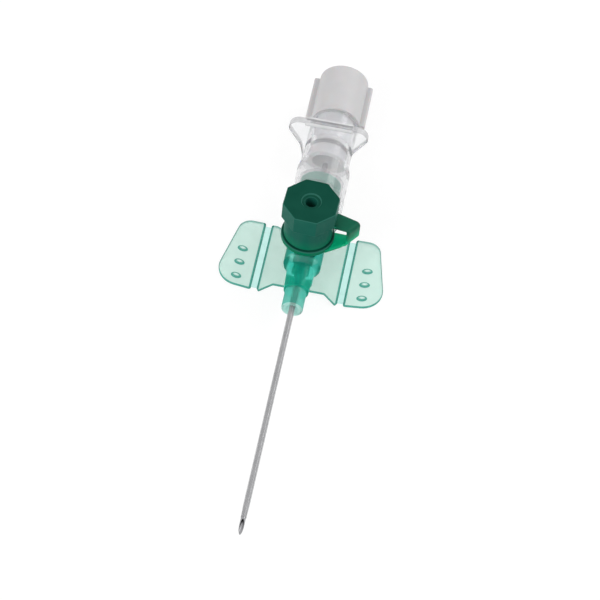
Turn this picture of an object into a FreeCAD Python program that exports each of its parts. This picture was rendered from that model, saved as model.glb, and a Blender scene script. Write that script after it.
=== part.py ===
import FreeCAD, Part
import math
import os

# Ported and winged intravenous cannula, 18 gauge, with its needle in place.
# Millimetres. The wings lie on z = 0, the needle points along -Y and the
# injection port stands on the Z axis.

# Heights and clearances
AXIS_HEIGHT = 5.3            # cannula axis above the underside of the wings
RUNNING_CLEARANCE = 0.03     # needle in the catheter, radial
LUER_CLEARANCE = 0.05        # between a male cone and its socket, radial
PLUG_CLEARANCE = 0.05        # plug in the flash chamber, radial
BOND_GAP = 0.02              # glue or press line round a fixed piece, radial
SEAT_GAP = 0.1               # between faces that rest on each other
REAR_GAP = 0.5               # behind the hub's rim, inside the clear sleeve

# Catheter and needle
CATHETER_RADIUS = 0.60
CATHETER_EXPOSED = 46.8
CATHETER_WALL = 0.12
CATHETER_TAPER = 3.2
CATHETER_TIP_WALL = 0.03
NEEDLE_WALL = 0.13
NEEDLE_OVERHANG = 3.3        # needle beyond the catheter's tip
BEVEL_ANGLE = 15.0
LANCET_ANGLE = 24.0
LANCET_TURN = 35.0
LANCET_SHARE = 0.45          # share of the bevel that the two lancet cuts take
CUT_WIDTH = 1.8              # block that grinds the point, wider than the needle

# Metal wedge that holds the flared end of the catheter in the hub
WEDGE_BORE_CLEARANCE = 0.06
WEDGE_LENGTH = 2.0
WEDGE_FLARE = 0.36           # growth of the radius over the wedge's cone
WEDGE_CONE = 0.8
WEDGE_COLLAR = 0.5
WEDGE_WALL = 0.10

# Catheter hub, along the axis from the port: nose, waist, barrel, socket
NOSE_RADIUS = 2.05
NOSE_LENGTH = 4.15
NOSE_ROUND = 0.23
NOSE_RECESS_RADIUS = 1.35
NOSE_RECESS_DEPTH = 0.9
WAIST_FRONT_RADIUS = 2.38
WAIST_REAR_RADIUS = 2.66
WAIST_LENGTH = 5.0
WAIST_STEP = 0.25
BARREL_RADIUS = 3.6
BARREL_AHEAD = 4.7           # barrel in front of the port axis
BARREL_CHAMFER = 1.1
BARREL_BEHIND = 7.6          # barrel behind the port axis
SOCKET_RADIUS = 3.5
SOCKET_LENGTH = 8.5
RIM_RADIUS = 4.0
RIM_LENGTH = 2.2
LUER_MOUTH_RADIUS = 2.15
LUER_TAPER = 0.03            # radius lost for each unit of depth

# Silicone sleeve that closes the port from inside the barrel
VALVE_RADIUS = 1.75
VALVE_WALL = 0.45
VALVE_HALF_LENGTH = 3.6

# Injection port
PORT_NECK_RADIUS = 2.95
PORT_BEAD_RADIUS = 3.25
PORT_BEAD_HEIGHT = 0.6
PORT_BEAD_RISE = 0.2         # from the ring to the bead's widest line
PORT_RADIUS = 3.05
PORT_RIM_HEIGHT = 10.6       # above the cannula axis
PORT_MOUTH_RADIUS = 2.15
PORT_DEPTH = 6.6
PORT_HOLE_RADIUS = 0.8

# Wings
WING_THICKNESS = 0.6
HINGE_INNER = 7.82
HINGE_OUTER = 8.96
WEB_THICKNESS = 0.25
WEB_INSET = 0.25
WEB_OVERLAP = 0.6            # how far the web runs into each panel
WING_FRONT = -8.35
WING_REAR = 8.05
WING_TIP_REAR = (13.63, 8.15)
WING_TIP_FRONT = (16.84, -7.45)
TIP_REAR_ROUND = 2.6
TIP_FRONT_ROUND = 4.2
CORNER_ROUND = 0.4
HINGE_CORNER_ROUND = 0.2
REAR_CORNER_WIDTH = 1.2      # straight rear edge of the inner panel beside the hinge
SHOULDER_FRONT = -6.4
SHOULDER_WIDTH = 4.95
SHOULDER_REAR = 6.2
SHOULDER_REAR_WIDTH = 2.9
SADDLE_WIDTH = 5.0
DOT_X = 12.25
DOT_YS = (-5.95, -2.6, 0.75)
DOT_LENGTH = 2.1
DOT_WIDTH = 1.35
DOT_HEIGHT = 0.32
DOT_TURN = 12.0

# Cap of the port, its strap and the ring that keeps it on the port
CAP_SIDES = 8
CAP_FLATS = 10.14
CAP_TURN = -2.5
CAP_TOP = 14.05              # above the cannula axis
CAP_HEAD_HEIGHT = 4.0
CAP_EDGE = 0.18
CAP_SKIRT_RADIUS = 4.68
CAP_SKIRT_WALL = 0.85
CAP_DIMPLE_RADIUS = 1.95
CAP_DIMPLE_DEPTH = 0.3
CAP_CORE_RADIUS = 1.2
CAP_CORE_DEPTH = 5.8
CAP_PIN_LENGTH = 3.9
RING_RADIUS = 5.12
RING_HEIGHT = 1.2
STRAP_THICKNESS = 0.65
STRAP_TOP = 8.0              # above the cannula axis
STRAP_LEAF_OVERLAP = 0.3     # how far the fold's profile runs into each leaf
FOLD_START = (7.75, -0.75)   # front end of the strap's slanting fold, in plan
FOLD_END = (9.7, 1.95)       # rear end of the fold
FOLD_ROUND = 0.9
FOLD_GAP = 0.04              # at the thin line half way up the fold
LEAF_ROOT = 3.0              # where both leaves start, under the skirt and in the ring
LOW_LEAF_FRONT = -4.2
LOW_LEAF_REAR = 1.7
LOW_LEAF_BEND = (7.4, 1.55)  # where the lower leaf's rear edge turns towards the fold
LEAF_BEND_ROUND = 0.6
LEAF_CORNER_INSET = 0.2      # front corner of the lower leaf, inside the fold's start
LEAF_CORNER_ROUND = 0.1
HIGH_LEAF_FRONT = -0.15
HIGH_LEAF_REAR = 4.0

# Clear needle hub: cone, sleeve, flash chamber and grip plate
SLEEVE_RADIUS = 5.2
SLEEVE_WALL = 0.85
SLEEVE_FRONT = 6.9
SLEEVE_REAR = 19.5
SHOULDER_LENGTH = 1.6
CHAMBER_RADIUS = 4.7
CHAMBER_BORE = 3.7
CHAMBER_FLOOR = 20.5
CHAMBER_REAR = 32.2
CONE_LENGTH = 9.8
PLATE_FRONT = 24.0
PLATE_THICKNESS = 1.5
PLATE_TOP = 8.3              # above the cannula axis
PLATE_OFFSET = -0.4          # the plate reaches a little further to the left
PLATE_HALF_WIDTH = 7.85
PLATE_EAR_LOW = 5.6
PLATE_TOP_ROUND = 2.2
PLATE_EAR_ROUND = 1.4
PLATE_TAPER_HALF_WIDTH = 5.25
PLATE_TAPER_HEIGHT = 1.4
PLATE_TAPER_ROUND = 5.0
PLATE_WAIST_HEIGHT = -1.6
PLATE_EDGE = 0.25
PLATE_LIP_HALF_LENGTH = 4.7
PLATE_LIP_HEIGHT = 0.6
PLATE_LIP_REACH = 0.3        # how far each lip stands proud of the plate

# White vented plug
PLUG_RADIUS = 4.95
PLUG_LENGTH = 11.8
PLUG_RIB_LENGTH = 10.8
PLUG_RIB_REACH = 6.0
PLUG_RIB_THICKNESS = 1.7
PLUG_EDGE = 0.4
PLUG_STEM_GAP = 0.9          # from the stem's end to the chamber's floor
PLUG_BORE = 2.4
PLUG_VENT_RADIUS = 3.0
PLUG_VENT_DEPTH = 1.6
FILTER_THICKNESS = 0.8

# Positions along Y that several pieces share
BARREL_FRONT = -BARREL_AHEAD
WAIST_REAR = BARREL_FRONT - BARREL_CHAMFER
WAIST_FRONT = WAIST_REAR - WAIST_LENGTH
NOSE_REAR = WAIST_FRONT - WAIST_STEP
NOSE_FRONT = NOSE_REAR - NOSE_LENGTH
HUB_REAR = BARREL_BEHIND + SOCKET_LENGTH
VALVE_BORE = VALVE_RADIUS + BOND_GAP
LUER_BOTTOM = HUB_REAR - (LUER_MOUTH_RADIUS - VALVE_BORE) / LUER_TAPER
CATHETER_TIP = NOSE_FRONT - CATHETER_EXPOSED
NEEDLE_TIP = CATHETER_TIP - NEEDLE_OVERHANG
CATHETER_BORE = CATHETER_RADIUS - CATHETER_WALL
NEEDLE_RADIUS = CATHETER_BORE - RUNNING_CLEARANCE
WEDGE_REAR = WAIST_REAR - SEAT_GAP
WEDGE_COLLAR_FRONT = WEDGE_REAR - WEDGE_COLLAR
WEDGE_FRONT = WEDGE_COLLAR_FRONT - WEDGE_LENGTH
FLARE_FRONT = WEDGE_FRONT
FLARE_REAR = WEDGE_FRONT + WEDGE_CONE
SLEEVE_BACK_WALL = HUB_REAR + REAR_GAP
PLATE_REAR = PLATE_FRONT + PLATE_THICKNESS
PLUG_FRONT = CHAMBER_REAR + SEAT_GAP
PLUG_REAR = PLUG_FRONT + PLUG_LENGTH
FILTER_REAR = PLUG_REAR - PLUG_VENT_DEPTH
FILTER_FRONT = FILTER_REAR - FILTER_THICKNESS

ORIGIN = FreeCAD.Vector(0, 0, 0)
ALONG_X = FreeCAD.Vector(1, 0, 0)
ALONG_Y = FreeCAD.Vector(0, 1, 0)
UP = FreeCAD.Vector(0, 0, 1)
AXIS_POINT = FreeCAD.Vector(0, 0, AXIS_HEIGHT)
FULL_TURN = 360


def closed_face(points):
    """Flat face inside a closed polygon of vectors."""
    return Part.Face(Part.makePolygon(points + [points[0]]))


def turned(profile):
    """Solid turned round the cannula axis from (radius, y) points."""
    face = closed_face([FreeCAD.Vector(radius, y, AXIS_HEIGHT) for radius, y in profile])
    return face.revolve(AXIS_POINT, ALONG_Y, FULL_TURN)


def standing(profile):
    """Solid turned round the port axis from (radius, height above the cannula axis) points."""
    face = closed_face([FreeCAD.Vector(radius, 0, AXIS_HEIGHT + height) for radius, height in profile])
    return face.revolve(ORIGIN, UP, FULL_TURN)


def bend(corners, index):
    """First, middle and last point of the arc that rounds one (u, v, radius) corner."""
    u, v, radius = corners[index]
    corner = FreeCAD.Vector(u, v, 0)
    before = FreeCAD.Vector(corners[index - 1][0], corners[index - 1][1], 0)
    after = FreeCAD.Vector(corners[(index + 1) % len(corners)][0], corners[(index + 1) % len(corners)][1], 0)
    to_before = (before - corner).normalize()
    to_after = (after - corner).normalize()
    half_angle = to_before.getAngle(to_after) / 2
    tangent = radius / math.tan(half_angle)
    inward = (to_before + to_after).normalize()
    middle = corner + inward * (radius / math.sin(half_angle) - radius)
    return corner + to_before * tangent, middle, corner + to_after * tangent


def rounded_face(corners, place):
    """Face with the given (u, v, radius) corners; place puts a flat point into space."""
    bends = [bend(corners, index) for index in range(len(corners))]
    edges = []
    for index, (first, middle, last) in enumerate(bends):
        if corners[index][2] > 0:
            edges.append(Part.Arc(place(first), place(middle), place(last)).toShape())
        following = bends[(index + 1) % len(bends)][0]
        edges.append(Part.makeLine(place(last), place(following)))
    return Part.Face(Part.Wire(edges))


def in_plan(z):
    """Placing function for outlines seen from above."""
    return lambda point: FreeCAD.Vector(point.x, point.y, z)


def across(y):
    """Placing function for outlines seen along the cannula, heights above its axis."""
    return lambda point: FreeCAD.Vector(point.x, y, AXIS_HEIGHT + point.y)


def box_between(low, high):
    """Box between two opposite corners."""
    size = high - low
    return Part.makeBox(size.x, size.y, size.z, low)


def mirrored(shape):
    """The same shape on the other side of the cannula."""
    return shape.mirror(ORIGIN, ALONG_X)


def luer_radius(depth, mouth=LUER_MOUTH_RADIUS):
    """Radius of a conical socket at a depth below its mouth."""
    return mouth - LUER_TAPER * depth


def catheter_tube():
    """Soft tube with a tapered tip and an end flared over the wedge."""
    tip_radius = CATHETER_BORE + CATHETER_TIP_WALL
    flared_bore = CATHETER_BORE + WEDGE_FLARE
    return turned([
        (CATHETER_BORE, CATHETER_TIP),
        (tip_radius, CATHETER_TIP),
        (CATHETER_RADIUS, CATHETER_TIP + CATHETER_TAPER),
        (CATHETER_RADIUS, FLARE_FRONT),
        (CATHETER_RADIUS + WEDGE_FLARE, FLARE_REAR),
        (CATHETER_RADIUS + WEDGE_FLARE, WEDGE_COLLAR_FRONT - BOND_GAP),
        (flared_bore, WEDGE_COLLAR_FRONT - BOND_GAP),
        (flared_bore, FLARE_REAR),
        (CATHETER_BORE, FLARE_FRONT),
    ])


def catheter_wedge():
    """Metal funnel pressed into the flared catheter; the needle runs through it."""
    bore = NEEDLE_RADIUS + WEDGE_BORE_CLEARANCE
    body = CATHETER_BORE + WEDGE_FLARE - BOND_GAP
    collar = CATHETER_RADIUS + WEDGE_FLARE
    nose = bore + WEDGE_WALL
    nose_y = FLARE_FRONT + WEDGE_CONE * (nose - CATHETER_BORE + BOND_GAP) / WEDGE_FLARE
    return turned([
        (bore, nose_y),
        (nose, nose_y),
        (body, FLARE_REAR),
        (body, WEDGE_COLLAR_FRONT),
        (collar, WEDGE_COLLAR_FRONT),
        (collar, WEDGE_REAR),
        (collar - WEDGE_WALL, WEDGE_REAR),
        (bore, WEDGE_COLLAR_FRONT),
    ])


def hub_body():
    """Outside of the hub from the nose to the mouth of its socket."""
    return turned([
        (0, NOSE_FRONT),
        (NOSE_RADIUS - NOSE_ROUND, NOSE_FRONT),
        (NOSE_RADIUS, NOSE_FRONT + NOSE_ROUND),
        (NOSE_RADIUS, NOSE_REAR),
        (WAIST_FRONT_RADIUS, WAIST_FRONT),
        (WAIST_REAR_RADIUS, WAIST_REAR),
        (BARREL_RADIUS, BARREL_FRONT),
        (BARREL_RADIUS, BARREL_BEHIND),
        (SOCKET_RADIUS, BARREL_BEHIND),
        (SOCKET_RADIUS, HUB_REAR - RIM_LENGTH),
        (RIM_RADIUS, HUB_REAR - RIM_LENGTH),
        (RIM_RADIUS, HUB_REAR),
        (0, HUB_REAR),
    ])


def hub_channel():
    """Way through the hub: recess, tube bore, wedge seat, valve seat and luer socket."""
    tube_bore = CATHETER_RADIUS + BOND_GAP
    flare_bore = tube_bore + WEDGE_FLARE
    valve_front = -VALVE_HALF_LENGTH - BOND_GAP
    throat = VALVE_RADIUS - VALVE_WALL
    return turned([
        (0, NOSE_FRONT),
        (NOSE_RECESS_RADIUS, NOSE_FRONT),
        (tube_bore, NOSE_FRONT + NOSE_RECESS_DEPTH),
        (tube_bore, FLARE_FRONT),
        (flare_bore, FLARE_REAR),
        (flare_bore, WEDGE_REAR),
        (throat, WEDGE_REAR),
        (throat, valve_front),
        (VALVE_BORE, valve_front),
        (VALVE_BORE, LUER_BOTTOM),
        (LUER_MOUTH_RADIUS, HUB_REAR),
        (0, HUB_REAR),
    ])


def port_outside():
    """Boss, neck and tube of the injection port."""
    ring_top = BARREL_RADIUS + SEAT_GAP + RING_HEIGHT + SEAT_GAP / 2
    return standing([
        (0, 0),
        (PORT_NECK_RADIUS, 0),
        (PORT_NECK_RADIUS, ring_top),
        (PORT_BEAD_RADIUS, ring_top + PORT_BEAD_RISE),
        (PORT_RADIUS, ring_top + PORT_BEAD_HEIGHT),
        (PORT_RADIUS, PORT_RIM_HEIGHT),
        (0, PORT_RIM_HEIGHT),
    ])


def port_bore():
    """Conical mouth of the port and the small hole that the valve closes."""
    bottom = PORT_RIM_HEIGHT - PORT_DEPTH
    return standing([
        (0, 0),
        (PORT_HOLE_RADIUS, 0),
        (PORT_HOLE_RADIUS, bottom),
        (luer_radius(PORT_DEPTH, PORT_MOUTH_RADIUS), bottom),
        (PORT_MOUTH_RADIUS, PORT_RIM_HEIGHT),
        (0, PORT_RIM_HEIGHT),
    ])


def inner_wings():
    """Plate under the hub with the inner panel and half of the hinge web on each side."""
    split = (HINGE_INNER + HINGE_OUTER) / 2
    half = [
        (SHOULDER_WIDTH, SHOULDER_FRONT, CORNER_ROUND),
        (HINGE_INNER - CORNER_ROUND, WING_FRONT - HINGE_CORNER_ROUND, 0),
        (HINGE_INNER, WING_FRONT + CORNER_ROUND, 0),
        (HINGE_INNER, WING_REAR - HINGE_CORNER_ROUND, HINGE_CORNER_ROUND),
        (HINGE_INNER - REAR_CORNER_WIDTH, WING_REAR - HINGE_CORNER_ROUND, CORNER_ROUND),
        (SHOULDER_REAR_WIDTH, SHOULDER_REAR, CORNER_ROUND),
    ]
    other_half = [(-x, y, radius) for x, y, radius in reversed(half)]
    plate = rounded_face(half + other_half, in_plan(0)).extrude(UP * WING_THICKNESS)
    web = box_between(
        FreeCAD.Vector(HINGE_INNER - WEB_OVERLAP, WING_FRONT + CORNER_ROUND + WEB_INSET, 0),
        FreeCAD.Vector(split, WING_REAR - CORNER_ROUND - WEB_INSET, WEB_THICKNESS),
    )
    return plate.fuse([web, mirrored(web)])


def saddle():
    """Foot that joins the barrel to the plate between the wings."""
    return box_between(
        FreeCAD.Vector(-SADDLE_WIDTH / 2, SHOULDER_FRONT + CORNER_ROUND, 0),
        FreeCAD.Vector(SADDLE_WIDTH / 2, SHOULDER_REAR - CORNER_ROUND, AXIS_HEIGHT),
    )


def catheter_hub():
    """Green hub: nose, barrel, socket, port and inner wings in one moulding."""
    outside = hub_body().fuse([port_outside(), inner_wings(), saddle()])
    return outside.cut([hub_channel(), port_bore()]).removeSplitter()


def wing_dot(x, y, turn):
    """Low oval pip with round ends that gives the finger a grip."""
    end = DOT_LENGTH / 2
    side = DOT_WIDTH / 2
    straight = end - side

    def point(u, v):
        return FreeCAD.Vector(u, v, WING_THICKNESS)

    outline = Part.Wire([
        Part.makeLine(point(-straight, -side), point(straight, -side)),
        Part.Arc(point(straight, -side), point(end, 0), point(straight, side)).toShape(),
        Part.makeLine(point(straight, side), point(-straight, side)),
        Part.Arc(point(-straight, side), point(-end, 0), point(-straight, -side)).toShape(),
    ])
    pip = Part.Face(outline).extrude(UP * DOT_HEIGHT)
    pip.rotate(ORIGIN, UP, turn)
    pip.translate(FreeCAD.Vector(x, y, 0))
    return pip


def wing_panel():
    """Outer panel of the right wing, with its half of the hinge web and three dots."""
    split = (HINGE_INNER + HINGE_OUTER) / 2
    outline = [
        (HINGE_OUTER, WING_REAR, CORNER_ROUND),
        (HINGE_OUTER, WING_FRONT, CORNER_ROUND),
        (WING_TIP_FRONT[0], WING_TIP_FRONT[1], TIP_FRONT_ROUND),
        (WING_TIP_REAR[0], WING_TIP_REAR[1], TIP_REAR_ROUND),
    ]
    panel = rounded_face(outline, in_plan(0)).extrude(UP * WING_THICKNESS)
    web = box_between(
        FreeCAD.Vector(split, WING_FRONT + CORNER_ROUND + WEB_INSET, 0),
        FreeCAD.Vector(HINGE_OUTER + WEB_OVERLAP, WING_REAR - CORNER_ROUND - WEB_INSET, WEB_THICKNESS),
    )
    dots = [wing_dot(DOT_X, y, DOT_TURN) for y in DOT_YS]
    return panel.fuse([web] + dots)


def port_valve():
    """Silicone sleeve in the barrel."""
    return turned([
        (VALVE_RADIUS - VALVE_WALL, -VALVE_HALF_LENGTH),
        (VALVE_RADIUS, -VALVE_HALF_LENGTH),
        (VALVE_RADIUS, VALVE_HALF_LENGTH),
        (VALVE_RADIUS - VALVE_WALL, VALVE_HALF_LENGTH),
    ])


def octagon_head():
    """Eight sided head of the cap with a small bevel round its top."""
    half_side = math.pi / CAP_SIDES
    corner = CAP_FLATS / 2 / math.cos(half_side)
    bottom = AXIS_HEIGHT + CAP_TOP - CAP_HEAD_HEIGHT
    points = []
    for index in range(CAP_SIDES):
        angle = math.radians(CAP_TURN) + half_side * (2 * index + 1)
        points.append(FreeCAD.Vector(corner * math.cos(angle), corner * math.sin(angle), bottom))
    head = closed_face(points).extrude(UP * CAP_HEAD_HEIGHT)
    top_edges = [edge for edge in head.Edges if edge.BoundBox.ZMin > bottom + CAP_HEAD_HEIGHT / 2]
    return head.makeChamfer(CAP_EDGE, top_edges)


def cap_inside():
    """Space under the cap round its sealing pin."""
    roof = PORT_RIM_HEIGHT + SEAT_GAP
    pin = luer_radius(CAP_PIN_LENGTH, PORT_MOUTH_RADIUS) - LUER_CLEARANCE
    inside = CAP_SKIRT_RADIUS - CAP_SKIRT_WALL
    floor = BARREL_RADIUS
    return standing([
        (0, floor),
        (inside, floor),
        (inside, roof),
        (pin, roof),
        (pin, roof - CAP_PIN_LENGTH),
        (0, roof - CAP_PIN_LENGTH),
    ])


def cap_core():
    """Blind hole down the pin and the shallow dimple round its mouth."""
    return standing([
        (0, CAP_TOP - CAP_CORE_DEPTH),
        (CAP_CORE_RADIUS, CAP_TOP - CAP_CORE_DEPTH),
        (CAP_CORE_RADIUS, CAP_TOP - CAP_DIMPLE_DEPTH),
        (CAP_DIMPLE_RADIUS - CAP_EDGE, CAP_TOP - CAP_DIMPLE_DEPTH),
        (CAP_DIMPLE_RADIUS, CAP_TOP),
        (0, CAP_TOP),
    ])


def fold_line():
    """Start, direction and outward normal of the strap's fold, in plan."""
    start = FreeCAD.Vector(FOLD_START[0], FOLD_START[1], 0)
    run = FreeCAD.Vector(FOLD_END[0], FOLD_END[1], 0) - start
    direction = FreeCAD.Vector(run).normalize()
    return start, run, direction.cross(UP)


def fold_half(leaf_height, side, middle):
    """Half of the fold: a rounded angle from the outside of one leaf to the thin line."""
    start, run, outward = fold_line()
    inner_height = leaf_height - side * STRAP_THICKNESS
    root = FOLD_ROUND + STRAP_LEAF_OVERLAP

    def place(point):
        return start + outward * point.x + UP * (AXIS_HEIGHT + point.y)

    profile = rounded_face([
        (-root, leaf_height, 0),
        (0, leaf_height, FOLD_ROUND),
        (0, middle, 0),
        (-STRAP_THICKNESS, middle, 0),
        (-STRAP_THICKNESS, inner_height, FOLD_ROUND - STRAP_THICKNESS),
        (-root, inner_height, 0),
    ], place)
    return profile.extrude(run)


def strap_leaf(front, rear, bottom, front_corners=(), rear_corners=()):
    """Flat leaf from its root to the fold; the extra corners lie on its front and rear edges."""
    start, run, outward = fold_line()
    near = start - outward * FOLD_ROUND
    far = near + run
    corners = [(LEAF_ROOT, front, 0), *front_corners, (near.x, near.y, 0)]
    corners += [(far.x, far.y, 0), *rear_corners, (LEAF_ROOT, rear, 0)]
    return rounded_face(corners, in_plan(AXIS_HEIGHT + bottom)).extrude(UP * STRAP_THICKNESS)


def fold_middle():
    """Height of the thin line of the fold above the cannula axis."""
    return (BARREL_RADIUS + SEAT_GAP + STRAP_TOP) / 2


def port_cap():
    """Octagonal cap with a skirt, a cored sealing pin and the upper half of the strap."""
    skirt_bottom = BARREL_RADIUS + SEAT_GAP + RING_HEIGHT + SEAT_GAP
    skirt = standing([
        (0, skirt_bottom),
        (CAP_SKIRT_RADIUS, skirt_bottom),
        (CAP_SKIRT_RADIUS, CAP_TOP - CAP_HEAD_HEIGHT),
        (0, CAP_TOP - CAP_HEAD_HEIGHT),
    ])
    leaf = strap_leaf(HIGH_LEAF_FRONT, HIGH_LEAF_REAR, STRAP_TOP - STRAP_THICKNESS)
    fold = fold_half(STRAP_TOP, 1, fold_middle() + FOLD_GAP / 2)
    outside = octagon_head().fuse([skirt, leaf, fold])
    return outside.cut([cap_inside(), cap_core()]).removeSplitter()


def cap_retainer():
    """Ring that turns round the port's neck, with the lower half of the strap."""
    bottom = BARREL_RADIUS + SEAT_GAP
    top = bottom + RING_HEIGHT
    bore_radius = PORT_NECK_RADIUS + LUER_CLEARANCE
    disc = standing([(0, bottom), (RING_RADIUS, bottom), (RING_RADIUS, top), (0, top)])
    bore = standing([(0, bottom), (bore_radius, bottom), (bore_radius, top), (0, top)])
    front_corner = (FOLD_START[0] - LEAF_CORNER_INSET, FOLD_START[1] - LEAF_CORNER_ROUND, LEAF_CORNER_ROUND)
    rear_bend = (LOW_LEAF_BEND[0], LOW_LEAF_BEND[1], LEAF_BEND_ROUND)
    leaf = strap_leaf(LOW_LEAF_FRONT, LOW_LEAF_REAR, bottom, [front_corner], [rear_bend])
    fold = fold_half(bottom, -1, fold_middle() - FOLD_GAP / 2)
    return disc.fuse([leaf, fold]).cut(bore).removeSplitter()


def needle_tube():
    """Steel needle with a lancet point, open side up."""
    bore = NEEDLE_RADIUS - NEEDLE_WALL
    rear = CHAMBER_FLOOR + NEEDLE_RADIUS
    tube = turned([
        (bore, NEEDLE_TIP),
        (NEEDLE_RADIUS, NEEDLE_TIP),
        (NEEDLE_RADIUS, rear),
        (bore, rear),
    ])
    bevel_length = 2 * NEEDLE_RADIUS / math.tan(math.radians(BEVEL_ANGLE))
    tube = tube.cut(point_cut(BEVEL_ANGLE, 0, 0))
    for side in (-1, 1):
        back = bevel_length * LANCET_SHARE * (1 - BEVEL_ANGLE / LANCET_ANGLE) / 2
        tube = tube.cut(point_cut(LANCET_ANGLE, side * LANCET_TURN, back))
    return tube


def point_cut(angle, turn, back):
    """Block whose sloping underside grinds the needle's point."""
    length = CUT_WIDTH / math.tan(math.radians(angle))
    block = Part.makeBox(CUT_WIDTH, length, CUT_WIDTH, FreeCAD.Vector(-CUT_WIDTH / 2, 0, 0))
    block.rotate(ORIGIN, ALONG_X, angle)
    block.translate(FreeCAD.Vector(0, NEEDLE_TIP - back, AXIS_HEIGHT - NEEDLE_RADIUS))
    block.rotate(AXIS_POINT, ALONG_Y, turn)
    return block


def grip_plate():
    """Plate across the chamber with an ear on each side, a foot level with the wings and two lips."""
    half = [
        (PLATE_HALF_WIDTH, PLATE_TOP, PLATE_TOP_ROUND),
        (PLATE_HALF_WIDTH, PLATE_EAR_LOW, PLATE_EAR_ROUND),
        (PLATE_TAPER_HALF_WIDTH, PLATE_TAPER_HEIGHT, PLATE_TAPER_ROUND),
        (CHAMBER_RADIUS, PLATE_WAIST_HEIGHT, PLATE_TAPER_ROUND),
        (CHAMBER_RADIUS, -AXIS_HEIGHT, 0),
    ]
    other_half = [(-x, height, radius) for x, height, radius in reversed(half)]
    plate = rounded_face(half + other_half, across(PLATE_FRONT)).extrude(ALONG_Y * PLATE_THICKNESS)
    rims = [edge for edge in plate.Edges if edge.BoundBox.YLength < PLATE_THICKNESS / 2]
    plate = plate.makeChamfer(PLATE_EDGE, rims)
    lips = box_between(
        FreeCAD.Vector(-PLATE_LIP_HALF_LENGTH, PLATE_FRONT - PLATE_LIP_REACH,
                       AXIS_HEIGHT + PLATE_TOP - PLATE_LIP_HEIGHT),
        FreeCAD.Vector(PLATE_LIP_HALF_LENGTH, PLATE_REAR + PLATE_LIP_REACH, AXIS_HEIGHT + PLATE_TOP),
    )
    plate = plate.fuse(lips)
    plate.translate(ALONG_X * PLATE_OFFSET)
    return plate


def needle_hub():
    """Clear hub: cone in the socket, sleeve over it, flash chamber and grip plate."""
    cone_tip = HUB_REAR - CONE_LENGTH
    sleeve_inside = SLEEVE_RADIUS - SLEEVE_WALL
    body = turned([
        (0, cone_tip),
        (luer_radius(CONE_LENGTH) - LUER_CLEARANCE, cone_tip),
        (luer_radius(-REAR_GAP) - LUER_CLEARANCE, SLEEVE_BACK_WALL),
        (sleeve_inside, SLEEVE_BACK_WALL),
        (sleeve_inside, SLEEVE_FRONT),
        (SLEEVE_RADIUS, SLEEVE_FRONT),
        (SLEEVE_RADIUS, SLEEVE_REAR),
        (CHAMBER_RADIUS, SLEEVE_REAR + SHOULDER_LENGTH),
        (CHAMBER_RADIUS, CHAMBER_REAR),
        (0, CHAMBER_REAR),
    ])
    needle_bore = NEEDLE_RADIUS + BOND_GAP
    inside = turned([
        (0, cone_tip),
        (needle_bore, cone_tip),
        (needle_bore, CHAMBER_FLOOR),
        (CHAMBER_BORE, CHAMBER_FLOOR),
        (CHAMBER_BORE, CHAMBER_REAR),
        (0, CHAMBER_REAR),
    ])
    return body.fuse(grip_plate()).cut(inside).removeSplitter()


def luer_plug():
    """White hollow plug with two finger ribs, a stem in the chamber and a vented rear face."""
    stem_front = CHAMBER_FLOOR + PLUG_STEM_GAP
    stem_radius = CHAMBER_BORE - PLUG_CLEARANCE
    body = turned([
        (0, stem_front),
        (stem_radius, stem_front),
        (stem_radius, PLUG_FRONT),
        (PLUG_RADIUS, PLUG_FRONT),
        (PLUG_RADIUS, PLUG_REAR - PLUG_EDGE),
        (PLUG_RADIUS - PLUG_EDGE, PLUG_REAR),
        (0, PLUG_REAR),
    ])
    ribs = box_between(
        FreeCAD.Vector(-PLUG_RIB_REACH, PLUG_FRONT, AXIS_HEIGHT - PLUG_RIB_THICKNESS / 2),
        FreeCAD.Vector(PLUG_RIB_REACH, PLUG_FRONT + PLUG_RIB_LENGTH, AXIS_HEIGHT + PLUG_RIB_THICKNESS / 2),
    )
    long_edges = [edge for edge in ribs.Edges if edge.BoundBox.YLength > PLUG_LENGTH / 2]
    ribs = ribs.makeFillet(PLUG_EDGE, long_edges)
    inside = turned([
        (0, stem_front),
        (PLUG_BORE, stem_front),
        (PLUG_BORE, FILTER_FRONT),
        (PLUG_VENT_RADIUS, FILTER_FRONT),
        (PLUG_VENT_RADIUS, PLUG_REAR),
        (0, PLUG_REAR),
    ])
    return body.fuse(ribs).cut(inside).removeSplitter()


def vent_filter():
    """Porous disc that lets air out of the chamber and keeps blood in."""
    edge = PLUG_VENT_RADIUS - BOND_GAP
    return turned([(0, FILTER_FRONT), (edge, FILTER_FRONT), (edge, FILTER_REAR), (0, FILTER_REAR)])


os.makedirs("parts", exist_ok=True)
pieces = {
    "catheter_tube": catheter_tube(),
    "catheter_wedge": catheter_wedge(),
    "catheter_hub": catheter_hub(),
    "wing_panel_right": wing_panel(),
    "wing_panel_left": mirrored(wing_panel()),
    "port_valve": port_valve(),
    "port_cap": port_cap(),
    "cap_retainer": cap_retainer(),
    "needle_tube": needle_tube(),
    "needle_hub": needle_hub(),
    "luer_plug": luer_plug(),
    "vent_filter": vent_filter(),
}
for name, shape in pieces.items():
    shape.exportStep(os.path.join("parts", name + ".step"))
    box = shape.BoundBox
    print(name, "solids", len(shape.Solids), "valid", shape.isValid(), "volume", round(shape.Volume, 2),
          [round(value, 2) for value in (box.XMin, box.XMax, box.YMin, box.YMax, box.ZMin, box.ZMax)])
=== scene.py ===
import math

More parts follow.
